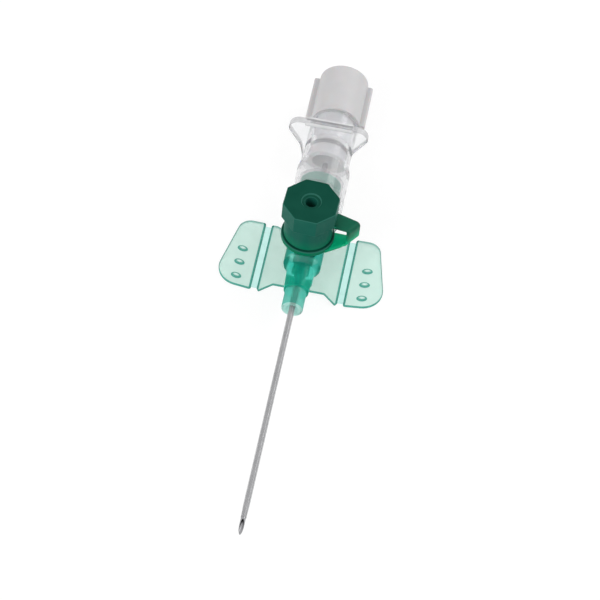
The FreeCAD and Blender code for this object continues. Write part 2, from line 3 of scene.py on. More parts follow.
import bmesh
import bpy
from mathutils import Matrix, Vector


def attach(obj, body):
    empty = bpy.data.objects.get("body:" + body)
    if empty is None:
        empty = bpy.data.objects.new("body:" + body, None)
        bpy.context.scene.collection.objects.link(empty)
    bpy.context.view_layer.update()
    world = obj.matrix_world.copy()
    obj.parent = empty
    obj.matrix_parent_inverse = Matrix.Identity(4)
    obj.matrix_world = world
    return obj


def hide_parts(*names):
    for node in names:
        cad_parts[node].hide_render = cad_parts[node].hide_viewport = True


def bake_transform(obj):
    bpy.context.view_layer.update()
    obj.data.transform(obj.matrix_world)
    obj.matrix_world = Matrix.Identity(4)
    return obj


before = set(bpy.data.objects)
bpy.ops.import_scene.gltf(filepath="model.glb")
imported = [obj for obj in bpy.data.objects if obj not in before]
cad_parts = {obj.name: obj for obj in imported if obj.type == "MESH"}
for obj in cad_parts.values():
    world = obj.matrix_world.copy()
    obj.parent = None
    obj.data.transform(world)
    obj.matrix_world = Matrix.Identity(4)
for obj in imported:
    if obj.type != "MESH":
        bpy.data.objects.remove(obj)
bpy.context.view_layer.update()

# Sizes are in millimetres in the model's frame: wings on z = 0, needle along -Y,
# injection port on the Z axis. MM turns them into metres when a mesh is made.
MM = 0.001
STEPS = 96                   # facets of a full turn
ARC_STEPS = 4                # facets of a rounded corner
CREASE = math.radians(34)    # sharper edges stay sharp in the shading
EDGE_STEPS = 3               # facets of a slab's rounded rim
ON_AXIS = 1e-6               # a smaller radius is one point on the axis
CUT_PAST = 0.1               # how far a flared cutter passes the mouth that it opens
CUT_CLEAR = 1                # how far a straight cutter does

AXIS_HEIGHT = 5.3            # cannula axis above the floor

# Hub
NOSE_FRONT = -15.2
NOSE_RADIUS = 2.05
NOSE_REAR = -11.05
NOSE_ROUND = 0.3
WAIST_FRONT = -10.8
WAIST_FRONT_RADIUS = 2.38
WAIST_REAR = -5.8
WAIST_REAR_RADIUS = 2.66
BARREL_FRONT = -4.7
BARREL_RADIUS = 3.6
BARREL_REAR = 7.6
SOCKET_RADIUS = 3.5
RIM_RADIUS = 4.0
RIM_LENGTH = 2.2
HUB_REAR = 16.1
LUER_MOUTH_RADIUS = 2.15
LUER_TIP_RADIUS = 1.802
LUER_BOTTOM = 4.5
PORT_NECK_RADIUS = 2.95
PORT_BEAD_RADIUS = 3.25
PORT_RADIUS = 3.05
PORT_RIM = 10.6
PORT_FLOOR = 4.0
PORT_HOLE_RADIUS = 0.8
PORT_FOOT_RADIUS = 1.952     # bore at the port's floor
BEAD_RISES = (0.05, 0.25, 0.45, 0.65)    # foot, widest part and end, above the ring
FOOT = [((2.4, -5.9), 0.8), ((2.4, 5.7), 0.8), ((-2.4, 5.7), 0.8), ((-2.4, -5.9), 0.8)]
FOOT_RISE = 0.02

# Channel through the hub, from the nose's mouth to the socket
MOUTH_RADIUS = 1.35
MOUTH_DEPTH = 0.9
TUBE_SEAT_RADIUS = 0.62
FLARE_SEAT_RADIUS = 0.98
STOP_RADIUS = 1.48           # step behind the tube's flared end
STOP_REAR = -5.9
ENTRY_RADIUS = 1.3           # narrow place in front of the valve
VALVE_SEAT_RADIUS = 1.77
VALVE_SEAT_HALF = 3.62

# Wings
WING_THICKNESS = 0.6
WEB_THICKNESS = 0.25
HINGE_INNER = 7.82
HINGE_OUTER = 8.96
WING_FRONT = -8.35
WING_REAR = 8.05
WING_EDGE = 0.16
RIDGE_WIDTH = 0.48           # slope from each panel down to the hinge web
RIDGE_LAP = 0.05             # how far that slope's cutter passes the panel
WEB_INSET = 0.65             # the web is shorter than the panels by this at each end
WEB_LAP = 0.02               # how far the web runs into its neighbours
WEB_HOLLOW = 0.05
WEB_ROWS = 9
PIPS = ((12.25, -5.95), (12.25, -2.6), (12.25, 0.75))
PIP_HALF = (1.05, 0.675, 0.32)
PIP_TURN = math.radians(12)
PIP_LEVELS = (-0.35, 0.0, 0.35, 0.62, 0.83, 0.95)    # shares of the pip's height
PIP_STEPS = 40

# Outlines as (corner, rounding) pairs
INNER_WING = [
    ((4.95, -6.4), 0.4),
    ((7.42, -8.55), 0.2),
    ((HINGE_INNER, -7.95), 0.2),
    ((HINGE_INNER, 7.85), 0.2),
    ((6.62, 7.85), 0.4),
    ((2.9, 6.2), 0.4),
]
OUTER_WING = [
    ((HINGE_OUTER, WING_REAR), 0.4),
    ((HINGE_OUTER, WING_FRONT), 0.4),
    ((16.84, -7.45), 4.2),
    ((13.63, 8.15), 2.6),
]

# Cap, ring and strap
CAP_FLATS = 10.14
CAP_TURN = -2.5
CAP_TOP = 14.05
CAP_HEAD_BOTTOM = 10.05
SKIRT_RADIUS = 4.68
SKIRT_BOTTOM = 5.0
SKIRT_INSIDE = 3.83
RING_RADIUS = 5.12
RING_BORE = 3.0
RING_BOTTOM = 3.7
RING_TOP = 4.9
STRAP_THICKNESS = 0.65
STRAP_EDGE = 0.27            # rounding of the strap's long edges
STRAP_WIDTH = 3.4
STRAP_TOP = 8.0
FOLD_START = (7.75, -0.75)
FOLD_END = (9.7, 1.95)
FOLD_ROUND = 0.575           # on the middle of the strap's thickness
LEAF_ROOT = 3.9
LOW_LEAF_ROOT = (-3.54, 1.67)
LOW_LEAF_MIDDLE = ((6.5, -1.62), (7.4, 1.55))
LOW_LEAF_ENTRY = ((6.95, -1.12), (8.72, 2.12))
HIGH_LEAF_ROOT = (-0.16, 3.77)
STRAP_BEND = 5.0             # X of the strap's bend points, which finish_piece does not use
STRAP_EDGE_STEPS = 4
CAP_CORNER = 0.25
CAP_EDGE = 0.2
SKIRT_LAP = 0.5              # how far the skirt runs up into the head
PIN_ROOT_RADIUS = 2.1
PIN_TIP_RADIUS = 1.98
PIN_LENGTH = 3.8
CORE_DEPTH = 5.8             # blind hole in the cap's top
CORE_TIP_RADIUS = 1.08
CORE_RADIUS = 1.2
DISH_DEPTH = 0.3             # shallow dish round that hole
DISH_RADIUS = 1.77
DISH_RIM_RADIUS = 1.95
DISH_CUT_RADIUS = 2.0

# Clear needle hub and plug
SLEEVE_RADIUS = 5.2
SLEEVE_INSIDE = 4.35
SLEEVE_FRONT = 6.9
SLEEVE_REAR = 19.5
CHAMBER_FRONT = 21.1
CHAMBER_RADIUS = 4.7
CHAMBER_BORE = 3.7
CHAMBER_FLOOR = 20.5
CHAMBER_REAR = 32.2
CONE_TIP = 6.3
CONE_TIP_RADIUS = 1.806
CONE_RADIUS = 2.1
HUB_BACK_WALL = 16.6
NEEDLE_BORE = 0.47
PLATE_FRONT = 24.0
PLATE_REAR = 25.5
PLATE_OFFSET = -0.4
PLATE_TOP = 8.3
PLATE_EDGE = 0.3
LIP_HALF = 4.7
LIP_HEIGHT = 0.6
LIP_REACH = 0.3
LIP_EDGE = 0.2
LIP_CORNER = 0.2
GRIP_SIDE = [                # one side of the plate, as (corner, rounding) pairs
    ((7.85, PLATE_TOP), 2.2),
    ((7.85, 5.6), 1.4),
    ((5.25, 1.4), 5.0),
    ((CHAMBER_RADIUS, -1.6), 5.0),
    ((CHAMBER_RADIUS, -AXIS_HEIGHT), 0.2),
]
PLUG_FRONT = 32.3
PLUG_REAR = 44.1
PLUG_RADIUS = 4.95
RIB_REACH = 6.0
RIB_REAR = 43.1
RIB_HALF = 0.85
RIB_CORNER = 0.4
RIB_EDGE = 0.12
STEM_TIP = 21.4
STEM_RADIUS = 3.65
PLUG_BORE = 2.4
VENT_RADIUS = 3.0
VENT_FLOOR = 41.7

# Catheter and needle
CATHETER_RADIUS = 0.60
CATHETER_BORE = 0.48
CATHETER_TIP = -62.0
CATHETER_TIP_RADIUS = 0.51
CATHETER_TAPER = 3.2
CATHETER_REAR = -6.42
FLARE_FRONT = -8.4
FLARE_REAR = -7.6
FLARE = 0.36
NEEDLE_TIP = -65.3
NEEDLE_RADIUS = 0.45
NEEDLE_INSIDE = 0.32
NEEDLE_REAR = 20.95
BEVEL_ANGLE = math.radians(15)
LANCET_ANGLE = math.radians(24)
LANCET_TURN = math.radians(35)
LANCET_SHARE = 0.45
CUT_WIDTH = 1.8

# The photograph's camera, found from the outlines of the parts
CAMERA_TURN = math.radians(4.964)
CAMERA_RISE = math.radians(52.596)
CAMERA_ROLL = math.radians(6.7125)
CAMERA_DISTANCE = 436.774
CAMERA_AIM = Vector((1.107, -12.59, 5.3))
CAMERA_LENS = 139.41

# Places between which a shade passes into the next, as (low, high) along Y or Z
NOSE_TO_WAIST = (-11.3, -10.9)
# Heights over which the barrel's front passes into its painted highlight
BODY_TO_ARCH_HIGHLIGHT = (7.2, 8.3)
PANEL_TO_BODY = (0.95, 1.3)
RING_TO_CAP = (9.6, 13.0)
STRAP_LOW_TO_HIGH = (9.8, 12.2)
STEM_TO_PLUG = (32.1, 32.4)

# Seen by the camera, the floor glows white, and its grey share keeps a faint shadow
FLOOR_GLOW = 0.86
FLOOR_SHADE = 0.16
FLOOR_PAPER = 0.9            # colour of the floor for the light that falls on the object
FLOOR_REACH = 2.0            # metres
FLOOR_DROP = 0.00002         # metres; keeps the floor clear of the wings' underside
WORLD_STRENGTH = 0.58
LIGHT_AIM = Vector((0, 0, 0.005))
LIGHTS = (                   # name, place and size in metres, watts
    ("key", (-0.5, -0.6, 0.5), 0.5, 4.6),
    ("fill", (0.62, 0.1, 0.5), 0.5, 1.2),
    ("rear", (0.6, 0.62, 0.55), 0.4, 3.0),
)


def about_cannula(radius, along, turn):
    """Point on a body turned about the cannula axis."""
    return Vector((radius * math.cos(turn), along, AXIS_HEIGHT + radius * math.sin(turn)))


def about_port(radius, along, turn):
    """Point on a body turned about the port axis; heights count from the cannula axis."""
    return Vector((radius * math.cos(turn), radius * math.sin(turn), AXIS_HEIGHT + along))


def in_plan(low):
    """Placing function for outlines seen from above."""
    return lambda u, v, rise: Vector((u, v, low + rise))


def across(front):
    """Placing function for outlines seen along the cannula."""
    return lambda u, v, rise: Vector((u, front + rise, AXIS_HEIGHT + v))


def rounded(corners, closed=True, steps=ARC_STEPS):
    """Points through (corner, radius) pairs, with an arc at each corner that has a radius."""
    points = []
    count = len(corners)
    for index, (corner, radius) in enumerate(corners):
        corner = Vector(corner)
        if radius == 0 or (not closed and index in (0, count - 1)):
            points.append(corner)
            continue
        back = (Vector(corners[index - 1][0]) - corner).normalized()
        ahead = (Vector(corners[(index + 1) % count][0]) - corner).normalized()
        half = back.angle(ahead) / 2
        centre = corner + (back + ahead).normalized() * (radius / math.sin(half))
        first = corner + back * (radius / math.tan(half)) - centre
        last = corner + ahead * (radius / math.tan(half)) - centre
        sweep = first.angle(last)
        for step in range(steps + 1):
            part = sweep * step / steps
            mix = (first * math.sin(sweep - part) + last * math.sin(part)) / math.sin(sweep)
            points.append(centre + mix)
    return points


def new_object(name, verts, faces):
    """Mesh object from points in millimetres, faces turned outwards."""
    mesh = bpy.data.meshes.new(name)
    mesh.from_pydata([point * MM for point in verts], [], faces)
    shell = bmesh.new()
    shell.from_mesh(mesh)
    bmesh.ops.recalc_face_normals(shell, faces=shell.faces)
    shell.to_mesh(mesh)
    shell.free()
    piece = bpy.data.objects.new(name, mesh)
    bpy.context.scene.collection.objects.link(piece)
    return piece


def turned(name, profile, place):
    """Closed body turned from a closed outline of (radius, along) points."""
    verts = []
    rings = []
    for radius, along in profile:
        count = 1 if radius < ON_AXIS else STEPS
        rings.append([len(verts) + index for index in range(count)])
        verts += [place(radius, along, 2 * math.pi * index / STEPS) for index in range(count)]
    faces = []
    for index, ring in enumerate(rings):
        other = rings[(index + 1) % len(rings)]
        if len(ring) == 1 and len(other) == 1:
            continue
        for step in range(STEPS):
            ahead = (step + 1) % STEPS
            quad = [ring[step % len(ring)], ring[ahead % len(ring)],
                    other[ahead % len(other)], other[step % len(other)]]
            faces.append(list(dict.fromkeys(quad)))
    return new_object(name, verts, faces)


def slab(name, outline, thickness, edge, place):
    """Flat body with an outline and rounded rims."""
    count = len(outline)
    verts = [place(u, v, 0) for u, v in outline] + [place(u, v, thickness) for u, v in outline]
    faces = [list(range(count)), list(range(2 * count - 1, count - 1, -1))]
    for index in range(count):
        ahead = (index + 1) % count
        faces.append([index, ahead, count + ahead, count + index])
    piece = new_object(name, verts, faces)
    if edge > 0:
        shell = bmesh.new()
        shell.from_mesh(piece.data)
        shell.faces.ensure_lookup_table()
        rims = [e for face in (shell.faces[0], shell.faces[1]) for e in face.edges]
        bmesh.ops.bevel(shell, geom=rims, offset=edge * MM, segments=EDGE_STEPS, profile=0.5,
                        affect="EDGES")
        shell.to_mesh(piece.data)
        shell.free()
    return piece


def dome(name, x, y, half, turn, floor):
    """Low oval dome whose foot is sunk into the panel."""
    verts = []
    rings = []
    for height in PIP_LEVELS:
        share = math.sqrt(1 - max(height, 0) ** 2)
        ring = []
        for index in range(PIP_STEPS):
            angle = 2 * math.pi * index / PIP_STEPS
            u = half[0] * share * math.cos(angle)
            v = half[1] * share * math.sin(angle)
            ring.append(len(verts))
            verts.append(Vector((x + u * math.cos(turn) - v * math.sin(turn),
                                 y + u * math.sin(turn) + v * math.cos(turn),
                                 floor + half[2] * height)))
        rings.append(ring)
    faces = [rings[0][::-1], rings[-1]]
    for low, high in zip(rings, rings[1:]):
        for index in range(PIP_STEPS):
            ahead = (index + 1) % PIP_STEPS
            faces.append([low[index], low[ahead], high[ahead], high[index]])
    return new_object(name, verts, faces)


def combine(piece, others, operation):
    """Joins the others to the piece, or cuts them out of it, and removes them."""
    for other in others:
        step = piece.modifiers.new(operation.lower(), "BOOLEAN")
        step.operation = operation
        step.solver = "EXACT"
        step.object = other
    graph = bpy.context.evaluated_depsgraph_get()
    result = bpy.data.meshes.new_from_object(piece.evaluated_get(graph))
    piece.modifiers.clear()
    old = piece.data
    piece.data = result
    bpy.data.meshes.remove(old)
    for other in others:
        bpy.data.objects.remove(other)


def finish_piece(piece, body, material, stands_for, weighted=True):
    """Shading, material and body of a piece; hides the CAD parts that it stands for."""
    mesh = piece.data
    mesh.shade_smooth()
    mesh.set_sharp_from_angle(angle=CREASE)
    if weighted:
        normals = piece.modifiers.new("normals", "WEIGHTED_NORMAL")
        normals.keep_sharp = True
    mesh.materials.clear()
    mesh.materials.append(material)
    if isinstance(body, str):
        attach(piece, body)
    else:
        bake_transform(piece)
    if stands_for:
        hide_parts(*stands_for)


# Materials

def shader_nodes(name):
    """New material with its node tree, shader and object coordinates."""
    material = bpy.data.materials.new(name)
    material.use_nodes = True
    tree = material.node_tree
    shader = tree.nodes["Principled BSDF"]
    place = tree.nodes.new("ShaderNodeTexCoord")
    return material, tree, shader, place.outputs["Object"]


def noise(tree, place, scale, detail=3.0, roughness=0.5):
    """Noise over the piece; scale counts features in a metre."""
    node = tree.nodes.new("ShaderNodeTexNoise")
    node.inputs["Scale"].default_value = scale
    node.inputs["Detail"].default_value = detail
    node.inputs["Roughness"].default_value = roughness
    tree.links.new(place, node.inputs["Vector"])
    return node.outputs["Fac"]


def spread(tree, value, low, high, from_low=0.3, from_high=0.7):
    """Maps a value to a range."""
    node = tree.nodes.new("ShaderNodeMapRange")
    node.inputs["From Min"].default_value = from_low
    node.inputs["From Max"].default_value = from_high
    node.inputs["To Min"].default_value = low
    node.inputs["To Max"].default_value = high
    tree.links.new(value, node.inputs["Value"])
    return node.outputs["Result"]


def mixed(tree, factor, first, second):
    """Colour between two colours or colour sockets."""
    node = tree.nodes.new("ShaderNodeMix")
    node.data_type = "RGBA"
    tree.links.new(factor, node.inputs["Factor"])
    for socket, colour in ((node.inputs[6], first), (node.inputs[7], second)):
        if isinstance(colour, tuple):
            socket.default_value = colour + (1.0,)
        else:
            tree.links.new(colour, socket)
    return node.outputs[2]


def grain(tree, shader, place, scale, depth, strength=0.5):
    """Fine moulded surface as bump; depth in millimetres."""
    bump = tree.nodes.new("ShaderNodeBump")
    bump.inputs["Strength"].default_value = strength
    bump.inputs["Distance"].default_value = depth * MM
    tree.links.new(noise(tree, place, scale, 2.0), bump.inputs["Height"])
    tree.links.new(bump.outputs["Normal"], shader.inputs["Normal"])


def share_along(tree, place, axis, low, high):
    """0 at the low to 1 at the high place along an axis of the model, in millimetres."""
    split = tree.nodes.new("ShaderNodeSeparateXYZ")
    tree.links.new(place, split.inputs[0])
    return spread(tree, split.outputs[axis], 0.0, 1.0, low * MM, high * MM)


def flatness(tree, axis, low, high):
    """0 on slopes and rims to 1 where the piece's own surface faces along the axis."""
    place = tree.nodes.new("ShaderNodeTexCoord")
    split = tree.nodes.new("ShaderNodeSeparateXYZ")
    size = tree.nodes.new("ShaderNodeMath")
    size.operation = "ABSOLUTE"
    tree.links.new(place.outputs["Normal"], split.inputs[0])
    tree.links.new(split.outputs[axis], size.inputs[0])
    return spread(tree, size.outputs[0], 0.0, 1.0, low, high)


def paint(tree, shader, colour):
    """Gives a shader its colour."""
    tree.links.new(colour, shader.inputs["Base Color"])


def roughen(tree, shader, place, scale, low, high):
    """Gives a shader a roughness that varies a little over the surface."""
    tree.links.new(spread(tree, noise(tree, place, scale), low, high), shader.inputs["Roughness"])


def see_through(shader, clearness, ior, coat):
    """Makes a shader a clear one; the coat carries its gloss."""
    shader.inputs["Transmission Weight"].default_value = clearness
    shader.inputs["IOR"].default_value = ior
    shader.inputs["Coat Weight"].default_value = coat
    shader.inputs["Coat Roughness"].default_value = 0.08


def clear_green():
    """Translucent green of the hub, paler where it thins to the wings, with painted shade darkening
    the wings' rims and slopes and painted highlights on the top of the barrel's rounded front and
    in the nose's mouth.
    """
    material, tree, shader, place = shader_nodes("green_clear_plastic")
    cloud = spread(tree, noise(tree, place, 420.0), 0.0, 1.0)
    nose = mixed(tree, cloud, (0.15, 0.57, 0.48), (0.20, 0.62, 0.53))
    waist = mixed(tree, cloud, (0.005, 0.50, 0.36), (0.035, 0.60, 0.47))
    # Painted highlight: a pale band across the top of the barrel's rounded front
    chamfer_highlight = mixed(tree, cloud, (0.10, 0.60, 0.48), (0.20, 0.68, 0.57))
    barrel = mixed(tree, cloud, (0.001, 0.31, 0.22), (0.010, 0.38, 0.28))
    socket = mixed(tree, cloud, (0.001, 0.28, 0.19), (0.005, 0.34, 0.24))
    body = mixed(tree, share_along(tree, place, "Y", *NOSE_TO_WAIST), nose, waist)
    body = mixed(tree, share_along(tree, place, "Y", WAIST_REAR, WAIST_REAR + 0.4), body, barrel)
    arch_highlight = mixed(tree, share_along(tree, place, "Z", *BODY_TO_ARCH_HIGHLIGHT), body, chamfer_highlight)
    body = mixed(tree, share_along(tree, place, "Y", WAIST_REAR, WAIST_REAR + 0.2), body, arch_highlight)
    from_front = share_along(tree, place, "Y", BARREL_FRONT - 0.1, BARREL_FRONT + 0.6)
    body = mixed(tree, from_front, body, barrel)
    to_socket = share_along(tree, place, "Y", BARREL_REAR - 0.2, BARREL_REAR + 0.2)
    body = mixed(tree, to_socket, body, socket)
    # Painted highlight: the forward-facing faces of the nose's mouth are painted pale
    mouth = mixed(tree, flatness(tree, "Y", 0.3, 0.6), body, (0.72, 0.88, 0.84))
    to_mouth = share_along(tree, place, "Y", NOSE_FRONT + 1.3, NOSE_FRONT + 1.1)
    body = mixed(tree, to_mouth, body, mouth)
    panel = mixed(tree, cloud, (0.68, 0.86, 0.80), (0.72, 0.89, 0.83))
    # Painted shade: the wings' slopes, rims and pip flanks are painted dark green, and only their
    # flat faces keep the panel colour
    sheet_with_rim_shade = mixed(tree, flatness(tree, "Z", 0.955, 0.9995), (0.028, 0.27, 0.205), panel)
    height = share_along(tree, place, "Z", *PANEL_TO_BODY)
    paint(tree, shader, mixed(tree, height, sheet_with_rim_shade, body))
    tree.links.new(spread(tree, height, 0.10, 0.34, 0.0, 1.0), shader.inputs["Roughness"])
    shader.inputs["Specular IOR Level"].default_value = 0.15
    see_through(shader, 0.72, 1.10, 0.06)
    grain(tree, shader, place, 5200.0, 0.004)
    return material


def web_green():
    """The same green where it is stretched thin over the hinges."""
    material, tree, shader, place = shader_nodes("green_web_plastic")
    cloud = spread(tree, noise(tree, place, 500.0), 0.0, 1.0)
    paint(tree, shader, mixed(tree, cloud, (0.56, 0.86, 0.81), (0.63, 0.90, 0.86)))
    roughen(tree, shader, place, 900.0, 0.08, 0.16)
    see_through(shader, 1.0, 1.10, 0.3)
    grain(tree, shader, place, 5200.0, 0.004)
    return material


def solid_green():
    """Deep green of the cap and ring, painted a little lighter low down where it is thin, with
    painted shade on the top faces and a painted highlight on the rounded edges.
    """
    material, tree, shader, place = shader_nodes("green_solid_plastic")
    cloud = spread(tree, noise(tree, place, 300.0), 0.0, 1.0)
    # Painted light: low down, the ring and skirt are painted lighter, fading into the head's colour
    # higher up
    low = mixed(tree, cloud, (0.001, 0.150, 0.074), (0.002, 0.165, 0.084))
    high = mixed(tree, cloud, (0.007, 0.092, 0.066), (0.011, 0.102, 0.073))
    top = mixed(tree, cloud, (0.003, 0.056, 0.036), (0.005, 0.066, 0.043))
    side = mixed(tree, share_along(tree, place, "Z", *RING_TO_CAP), low, high)
    # Painted highlight: the rounded edges between the sides and the top are painted lighter
    edge = mixed(tree, flatness(tree, "Z", 0.15, 0.4), side, (0.026, 0.135, 0.100))
    # Painted shade: faces that look up get the darker top colour
    paint(tree, shader, mixed(tree, flatness(tree, "Z", 0.8, 0.97), edge, top))
    roughen(tree, shader, place, 1100.0, 0.30, 0.42)
    shader.inputs["Specular IOR Level"].default_value = 0.04
    grain(tree, shader, place, 4200.0, 0.005)
    return material


def strap_green():
    """The same green in the thin strap, which light passes through, with its lower leaf painted
    much lighter as a painted glow.
    """
    material, tree, shader, place = shader_nodes("green_strap_plastic")
    cloud = spread(tree, noise(tree, place, 300.0), 0.0, 1.0)
    # Painted light: the lower leaf is painted far lighter than the upper one
    low = mixed(tree, cloud, (0.002, 0.46, 0.23), (0.003, 0.51, 0.26))
    high = mixed(tree, cloud, (0.006, 0.13, 0.075), (0.008, 0.16, 0.09))
    paint(tree, shader, mixed(tree, share_along(tree, place, "Z", *STRAP_LOW_TO_HIGH), low, high))
    roughen(tree, shader, place, 1100.0, 0.30, 0.42)
    shader.inputs["Specular IOR Level"].default_value = 0.2
    see_through(shader, 0.55, 1.15, 0.1)
    grain(tree, shader, place, 4200.0, 0.005)
    return material


def clear():
    """Clear plastic of the needle hub, with painted shade and light: grey on its rounded faces,
    darker grey round the grip plate's rims, and near white on faces that look along the cannula.
    """
    material, tree, shader, place = shader_nodes("clear_plastic")
    cloud = spread(tree, noise(tree, place, 220.0), 0.0, 1.0)
    # Painted shade: rounded faces are painted grey, darker around the grip plate, and faces looking
    # along the cannula are painted near white
    shaded_round_part = mixed(tree, cloud, (0.80, 0.80, 0.81), (0.92, 0.92, 0.93))
    from_front = share_along(tree, place, "Y", PLATE_FRONT - 0.1, PLATE_FRONT)
    to_rear = share_along(tree, place, "Y", PLATE_REAR + 0.1, PLATE_REAR)
    rim_shade = mixed(tree, from_front, shaded_round_part, (0.50, 0.50, 0.51))
    body = mixed(tree, to_rear, shaded_round_part, rim_shade)
    paint(tree, shader, mixed(tree, flatness(tree, "Y", 0.9, 0.99), body, (0.96, 0.96, 0.97)))
    roughen(tree, shader, place, 700.0, 0.12, 0.20)
    see_through(shader, 0.83, 1.09, 0.3)
    grain(tree, shader, place, 3600.0, 0.002)
    return material


def lip_clear():
    """The same plastic in the narrow lips of the grip, made less clear so that they show white as a
    painted highlight.
    """
    material, tree, shader, place = shader_nodes("clear_lip_plastic")
    cloud = spread(tree, noise(tree, place, 700.0), 0.0, 1.0)
    paint(tree, shader, mixed(tree, cloud, (0.78, 0.78, 0.79), (0.90, 0.90, 0.91)))
    roughen(tree, shader, place, 900.0, 0.10, 0.20)
    # Painted highlight: the low clearness makes the lips show white
    see_through(shader, 0.35, 1.3, 0.6)
    return material


def white():
    """Satin white plastic of the plug, with its stem painted lighter against the shade inside the
    clear chamber.
    """
    material, tree, shader, place = shader_nodes("white_plastic")
    cloud = spread(tree, noise(tree, place, 260.0), 0.0, 1.0)
    body = mixed(tree, cloud, (0.54, 0.535, 0.54), (0.57, 0.562, 0.57))
    # Painted light: the stem, shaded inside the clear chamber, is painted lighter than the plug
    paint(tree, shader, mixed(tree, share_along(tree, place, "Y", *STEM_TO_PLUG),
                              (0.76, 0.76, 0.77), body))
    roughen(tree, shader, place, 1200.0, 0.45, 0.56)
    shader.inputs["Specular IOR Level"].default_value = 0.3
    shader.inputs["Subsurface Weight"].default_value = 0.15
    shader.inputs["Subsurface Scale"].default_value = 0.001
    grain(tree, shader, place, 4200.0, 0.006)
    return material


def tube_plastic():
    """Soft clear plastic of the catheter."""
    material, tree, shader, place = shader_nodes("catheter_plastic")
    cloud = spread(tree, noise(tree, place, 400.0), 0.0, 1.0)
    paint(tree, shader, mixed(tree, cloud, (0.46, 0.46, 0.47), (0.52, 0.52, 0.53)))
    roughen(tree, shader, place, 900.0, 0.28, 0.34)
    shader.inputs["Alpha"].default_value = 0.4
    return material


def steel():
    """Ground and polished steel, with fine marks along the tube."""
    material, tree, shader, place = shader_nodes("needle_steel")
    stretch = tree.nodes.new("ShaderNodeMapping")
    stretch.inputs["Scale"].default_value = (1.0, 0.02, 1.0)
    tree.links.new(place, stretch.inputs["Vector"])
    marks = noise(tree, stretch.outputs["Vector"], 6000.0, 2.0)
    paint(tree, shader, mixed(tree, spread(tree, marks, 0.0, 1.0),
                              (0.31, 0.31, 0.32), (0.37, 0.37, 0.38)))
    tree.links.new(spread(tree, marks, 0.28, 0.36), shader.inputs["Roughness"])
    shader.inputs["Metallic"].default_value = 1.0
    return material


def silicone():
    """Matte silicone of the port's valve."""
    material, tree, shader, place = shader_nodes("valve_silicone")
    cloud = spread(tree, noise(tree, place, 500.0), 0.0, 1.0)
    paint(tree, shader, mixed(tree, cloud, (0.62, 0.68, 0.65), (0.70, 0.75, 0.72)))
    roughen(tree, shader, place, 1500.0, 0.5, 0.65)
    grain(tree, shader, place, 5000.0, 0.006)
    return material


def porous():
    """Pressed fibres of the vent filter."""
    material, tree, shader, place = shader_nodes("vent_fibre")
    fibres = noise(tree, place, 6500.0, 6.0, 0.7)
    paint(tree, shader, mixed(tree, spread(tree, fibres, 0.0, 1.0),
                              (0.62, 0.62, 0.60), (0.84, 0.84, 0.82)))
    tree.links.new(spread(tree, fibres, 0.75, 0.95), shader.inputs["Roughness"])
    grain(tree, shader, place, 6500.0, 0.03, 0.9)
    return material


GREEN_CLEAR = clear_green()
GREEN_WEB = web_green()
GREEN_SOLID = solid_green()
GREEN_STRAP = strap_green()
CLEAR = clear()
CLEAR_LIP = lip_clear()
WHITE = white()
TUBE = tube_plastic()
STEEL = steel()
SILICONE = silicone()
FIBRE = porous()


# Pieces

def mirrored(outline):
    """Outline points on the other side of the cannula."""
    return [((-corner[0], corner[1]), radius) for corner, radius in reversed(outline)]


def ridge_slope(x, inward):
    """Wedge that takes the top of a panel's edge down to the hinge web."""
    top = WING_THICKNESS - AXIS_HEIGHT + RIDGE_LAP
    foot = WEB_THICKNESS - AXIS_HEIGHT
    outer = x - inward * RIDGE_LAP
    outline = [(x + inward * RIDGE_WIDTH, top), (outer, foot), (outer, top)]
    length = WING_REAR - WING_FRONT + 2 * CUT_CLEAR
    return slab("ridge", [Vector(corner) for corner in outline], length, 0,
                across(WING_FRONT - CUT_CLEAR))


